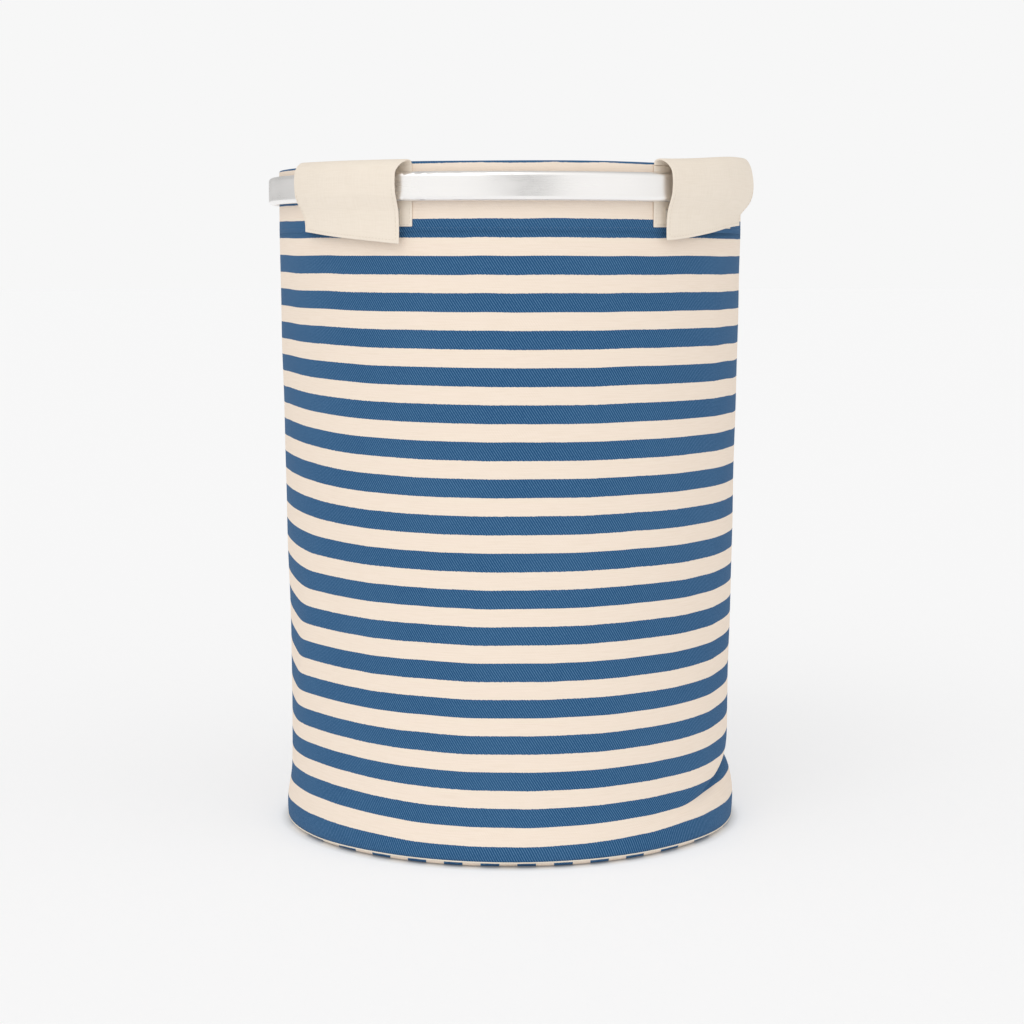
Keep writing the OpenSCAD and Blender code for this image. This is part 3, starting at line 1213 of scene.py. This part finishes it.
@dataclass
class Tab:
    """One cloth tab: a strap sewn outside the mouth, and its flap folded over the hoop.

    Across a tab, w runs from -1 to 1. Its outer side is the one away from the front or the rear.
    """

    name: str
    angle: float
    finishes: Finishes
    half_arc: float = math.radians(15.6)
    strap_extra: float = math.radians(2.3)
    strap_inset: float = math.radians(3.4)
    cloth: float = 1.5 * MM
    corner_lift: float = 10 * MM
    lift_bend: float = 0.0
    free_edge: float = 0.0
    crown_rise: float = 0.0
    outer_stand: float = 0.0
    taper: float = math.radians(2.6)
    phase: float = 0.0
    section: Array = field(init=False)

    def __post_init__(self) -> None:
        """Lays out the flap's section, from behind the crown to its free edge."""
        tube_low, tube_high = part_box("rim_hoop")
        face, top, foot = tube_high.x, tube_high.z, tube_low.z
        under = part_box(f"flap_{self.name}")[0].z
        self.section = curve_through([
            (face - 7.6 * MM, top + 4.8 * MM), (face - 7.2 * MM, top + 7.2 * MM),
            (face - 5.2 * MM, top + 8.7 * MM), (face - 1.6 * MM, top + 8.5 * MM),
            (face + 2.4 * MM, top + 5.6 * MM), (face + 5.2 * MM, top + 0.2 * MM),
            (face + 6.3 * MM, top - 8 * MM), (face + 5.4 * MM, foot + 6 * MM),
            (face + 3.2 * MM, foot + 0.5 * MM), (face + 0.4 * MM, foot - 6 * MM),
            (face - 1.5 * MM, foot - 14 * MM), (face - 2.1 * MM, foot - 24 * MM),
            (face - 2.0 * MM, under),
        ], 96)

    def build(self) -> None:
        """Makes and dresses the strap, the flap and their stitches."""
        self.strap()
        self.flap()
        LOG.info("tab %s", self.name)

    @property
    def outer_side(self) -> float:
        """1 where the tab's outer edge is towards +X of the front, -1 towards -X."""
        return 1.0 if self.angle > 0 else -1.0

    def strap(self) -> None:
        """The strap: sewn to the sack below the hoop, and up behind it."""
        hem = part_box("hem_band")[1]
        inner = hem.x + 0.35 * MM
        tube_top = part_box("rim_hoop")[1].z
        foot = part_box(f"tab_strap_{self.name}")[0].z - 1 * MM
        path = curve_through([(inner + 0.5 * MM, foot), (inner + 0.6 * MM, foot + 14 * MM),
                              (inner + 0.6 * MM, tube_top - 10 * MM),
                              (inner + 0.65 * MM, tube_top + 1 * MM),
                              (inner + 0.8 * MM, tube_top + 5.4 * MM)], 40)
        half = self.half_arc + (self.strap_extra - self.strap_inset) / 2
        middle = self.angle - self.outer_side * (self.strap_extra + self.strap_inset) / 2
        w = np.linspace(-1, 1, 49)
        a = middle + w * half
        along = foot + run_along(path)
        sag = 0.4 * MM * np.sin(2.4 * w + self.phase)
        points = around(a[None, :], path[:, :1] + 0 * w[None, :], path[:, 1:] + sag[None, :])
        piece = grid_piece(f"strap_{self.name}", points, patch_uv(a * hem.x, along))
        sew(piece, (1.1 * MM, 0, 1), self.finishes.canvas, f"tab_strap_{self.name}")
        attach(piece, "rim")
        self.strap_stitches(inner + 1.15 * MM, foot, middle, half)

    def strap_stitches(self, radius: float, foot: float, middle: float, half: float) -> None:
        """A stitched box on the part of the strap that shows below the hoop.

        Args:
            radius: Radius of the strap's outer face.
            foot: Height of its lower edge.
            middle: Angle of its middle.
            half: Half its arc.
        """
        inset = math.radians(0.6)
        across = np.linspace(middle - half + inset, middle + half - inset, 60)
        upright = np.linspace(foot + 2 * MM, foot + 17 * MM, 20)
        rows = [(across, np.full_like(across, foot + 2 * MM))]
        rows += [(np.full_like(upright, across[end]), upright) for end in (0, -1)]
        for k, (a, z) in enumerate(rows):
            line = around(a, np.full_like(a, radius), z)
            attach(stitch_row(f"strap_stitches_{self.name}_{k}", line, outward(a), TAB_STITCH,
                               self.finishes.thread), "rim")

    def flap_points(self, t: Array, w: Array) -> Array:
        """Points on the flap's middle surface.

        Args:
            t: Share of the way from behind the crown to the free edge.
            w: Place across it.

        Returns:
            Positions in the row frame.
        """
        t, w = np.broadcast_arrays(t, w)
        at = np.clip(t, 0, 1) * (len(self.section) - 1)
        r = np.interp(at, np.arange(len(self.section)), self.section[:, 0])
        z = np.interp(at, np.arange(len(self.section)), self.section[:, 1])
        out = self.outer_side * w
        share = (out + 1) / 2
        crown = bell((t - 0.16) / 0.12)
        lower = ease((t - 0.55) / 0.45)
        z = z + crown * self.crown_rise * (0.25 + 0.75 * ease(share * 1.2))
        r = r + self.outer_stand * ease(share) * bell((t - 0.38) / 0.17)
        lift = (1 - self.lift_bend) * share + self.lift_bend * ease(share * 1.08)
        z = z + lower * (self.corner_lift * lift + self.free_edge)
        r = r + lower * 0.9 * MM * np.abs(w) ** 6
        r = r - 1.1 * MM * bell((t - 0.40) / 0.15) * (1 - w**2)
        crease = bell((t - 0.66) / 0.018) * 0.35 * (0.6 + 0.4 * np.sin(3 * w + self.phase))
        wrinkle = 0.30 * np.sin(4.2 * w + 3.0 * t + self.phase) * bell((t - 0.55) / 0.25)
        wrinkle = wrinkle + 0.14 * np.sin(9 * w - 9 * t + 2 * self.phase) - crease
        r = r + wrinkle * MM * ease(t * 3)
        wide = self.half_arc + self.strap_extra * (1 - ease((t - 0.02) / 0.26)) * (1 - share)
        narrow = self.outer_side * self.taper * ease((t - 0.48) / 0.52) * ease(share)
        a = self.angle + w * wide - narrow * np.abs(w)
        return around(a, r, z)

    def flap(self) -> None:
        """The flap: over the crown of the hoop, down its face and in below it."""
        t = np.linspace(0, 1, 76)
        w = np.linspace(-1, 1, 61)
        points = self.flap_points(t[:, None], w[None, :])
        along = run_along(points[:, len(w) // 2])
        tube_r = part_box("rim_hoop")[1].x
        uv = patch_uv(w * self.half_arc * tube_r, along)
        piece = grid_piece(f"flap_cloth_{self.name}", points, uv, flip=True)
        sew(piece, (self.cloth, 0, 1), self.finishes.canvas, f"flap_{self.name}")
        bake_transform(piece)
        self.flap_stitches()

    def flap_stitches(self) -> None:
        """Thread along the flap's hemmed sides and free edge."""
        side = 0.95
        down = np.linspace(0.42, 0.965, 90)
        across = np.linspace(-side, side, 120)
        lines = [(down, np.full_like(down, -side)), (down, np.full_like(down, side)),
                 (np.full_like(across, 0.965), across)]
        step = 1e-3
        for k, (t, w) in enumerate(lines):
            dt = self.flap_points(t + step, w) - self.flap_points(t - step, w)
            dw = self.flap_points(t, w + step) - self.flap_points(t, w - step)
            normal = np.cross(dw, dt)
            normal /= np.linalg.norm(normal, axis=1, keepdims=True)
            facing = np.sign(np.sum(normal * outward(np.full_like(w, self.angle)), axis=1))
            normal = normal * facing[:, None]
            line = self.flap_points(t, w) + normal * (self.cloth / 2)
            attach(stitch_row(f"flap_stitches_{self.name}_{k}", line, normal, TAB_STITCH,
                               self.finishes.thread), f"flap_{self.name}")


@dataclass
class Fittings:
    """The hard pieces and the fastener tapes, whose CAD shapes stay in sight."""

    tab_names: tuple[str, ...]

    def build(self) -> None:
        """Gives each CAD node its finish."""
        dress_node("rim_hoop", SatinMetal().material("satin_aluminium"))
        mill = SatinMetal(light=(0.70, 0.70, 0.70), dark=(0.52, 0.52, 0.52), rough_low=0.38, rough_high=0.5)
        dress_node("hoop_joint_sleeve", mill.material("mill_aluminium"))
        rivet = SatinMetal(light=(0.76, 0.76, 0.77), dark=(0.6, 0.6, 0.6), rough_low=0.3, rough_high=0.42)
        dress_node("hoop_rivets", rivet.material("rivet_metal"))
        dress_node("base_board", FibreBoard().material("fibre_board"))
        loops = TouchTape(Pile.LOOPS).material("fastener_loops")
        hooks = TouchTape(Pile.HOOKS).material("fastener_hooks")
        for name in self.tab_names:
            dress_node(f"loop_tape_{name}", loops)
            dress_node(f"hook_tape_{name}", hooks)
        LOG.info("fittings dressed")


@dataclass
class Studio:
    """A shadowless tent of light with a plain pale floor, and the camera."""

    distance: float = 1.979
    eye: float = 0.4826
    tilt: float = math.radians(3.0)
    lens: float = 80.948
    shift: tuple[float, float] = (0.00195, -0.1337)
    backdrop: float = 0.93
    front_light: float = 0.98
    rear_light: float = 0.54
    dark_card: float = 0.35

    def build(self) -> None:
        """Sets up the floor, the tent, the lamp and the camera."""
        self.floor()
        self.tent()
        self.lamp()
        self.camera()
        bpy.context.scene.view_settings.view_transform = "Standard"

    def floor(self) -> None:
        """A wide level floor."""
        side = np.linspace(-30.0, 30.0, 9)
        x, y = np.meshgrid(side, side)
        points = np.stack([x, y, np.zeros_like(x)], axis=-1)
        piece = grid_piece("studio_floor", points, np.stack([x, y], axis=-1))
        piece.data.materials.append(PaleFloor().material("pale_floor"))

    def tent(self) -> None:
        """Light from all round, strongest from the front, and a pale backdrop."""
        world = bpy.data.worlds.new("studio")
        bpy.context.scene.world = world
        world.use_nodes = True
        nodes, links = world.node_tree.nodes, world.node_tree.links

        def dot(x: float, y: float, z: float) -> Socket:
            """How far the direction of view runs along x, y, z."""
            node = nodes.new("ShaderNodeVectorMath")
            node.operation = "DOT_PRODUCT"
            node.inputs[1].default_value = (x, y, z)
            links.new(place.outputs["Generated"], node.inputs[0])
            return node.outputs["Value"]

        def span(value: Socket, low: float, high: float, to_low: Socket | float,
                 to_high: Socket | float) -> Socket:
            """Value eased from low..high to to_low..to_high."""
            node = nodes.new("ShaderNodeMapRange")
            node.interpolation_type = "SMOOTHSTEP"
            for target, number in zip(node.inputs, (value, low, high, to_low, to_high)):
                if isinstance(number, bpy.types.NodeSocket):
                    links.new(number, target)
                else:
                    target.default_value = number
            return node.outputs[0]

        place = nodes.new("ShaderNodeTexCoord")
        front = (-math.sin(CAMERA_TURN), -math.cos(CAMERA_TURN), 0.0)
        card = math.radians(7) - CAMERA_TURN
        ahead = span(dot(*front), -0.55, 0.75, self.rear_light, self.front_light)
        tent = span(dot(math.sin(card), -math.cos(card), 0.0), 0.955, 0.995, ahead, self.dark_card)
        light = nodes["Background"]
        light.inputs["Color"].default_value = (1.0, 0.995, 0.985, 1.0)
        links.new(tent, light.inputs["Strength"])
        seen = nodes.new("ShaderNodeBackground")
        seen.inputs["Color"].default_value = (1.0, 1.0, 1.0, 1.0)
        seen.inputs["Strength"].default_value = self.backdrop
        path = nodes.new("ShaderNodeLightPath")
        either = nodes.new("ShaderNodeMixShader")
        links.new(path.outputs["Is Camera Ray"], either.inputs[0])
        links.new(light.outputs[0], either.inputs[1])
        links.new(seen.outputs[0], either.inputs[2])
        links.new(either.outputs[0], nodes["World Output"].inputs["Surface"])

    def lamp(self) -> None:
        """A broad far lamp from the front left and above, even over the whole floor."""
        light = bpy.data.lights.new("high_lamp", "SUN")
        light.energy = 0.42
        light.angle = math.radians(38)
        light.color = (1.0, 0.99, 0.97)
        lamp = bpy.data.objects.new("high_lamp", light)
        bpy.context.scene.collection.objects.link(lamp)
        aim = Vector((0.38, 0.70, -0.80))
        lamp.rotation_euler = aim.to_track_quat("-Z", "Y").to_euler()

    def camera(self) -> None:
        """The camera, nearly level with the hoop and a little left of the front."""
        data = bpy.data.cameras.new("camera")
        data.lens = self.lens
        data.sensor_width = 36.0
        data.shift_x, data.shift_y = self.shift
        data.dof.use_dof = False
        data.clip_end = 60.0
        camera = bpy.data.objects.new("camera", data)
        bpy.context.scene.collection.objects.link(camera)
        camera.location = (-self.distance * math.sin(CAMERA_TURN), -self.distance * math.cos(CAMERA_TURN),
                           self.eye)
        camera.rotation_euler = (math.pi / 2 - self.tilt, 0.0, -CAMERA_TURN)
        bpy.context.scene.camera = camera


def main() -> None:
    """Builds the sack's sub-assemblies in order, then the studio."""
    logging.basicConfig(level=logging.INFO, format="%(name)s: %(message)s")
    surface = SackSurface()
    finishes = Finishes()
    turn = math.radians
    tabs = (
        Tab("front_left", turn(-46.9), finishes, outer_stand=-2.5 * MM, phase=0.3),
        Tab("front_right", turn(47.2), finishes, half_arc=turn(16.4), corner_lift=12.5 * MM, lift_bend=0.6,
            free_edge=3 * MM, crown_rise=6.5 * MM, outer_stand=1.5 * MM, phase=1.9),
        Tab("rear_left", turn(-133), finishes, corner_lift=6 * MM, lift_bend=0.3, free_edge=1 * MM,
            phase=3.1),
        Tab("rear_right", turn(133), finishes, corner_lift=5 * MM, crown_rise=2 * MM, phase=4.4),
    )
    SackBody(surface, finishes).build()
    MouthHem(surface, finishes).build()
    for tab in tabs:
        tab.build()
    Fittings(tuple(tab.name for tab in tabs)).build()
    Studio().build()


if __name__ == "__main__":
    main()
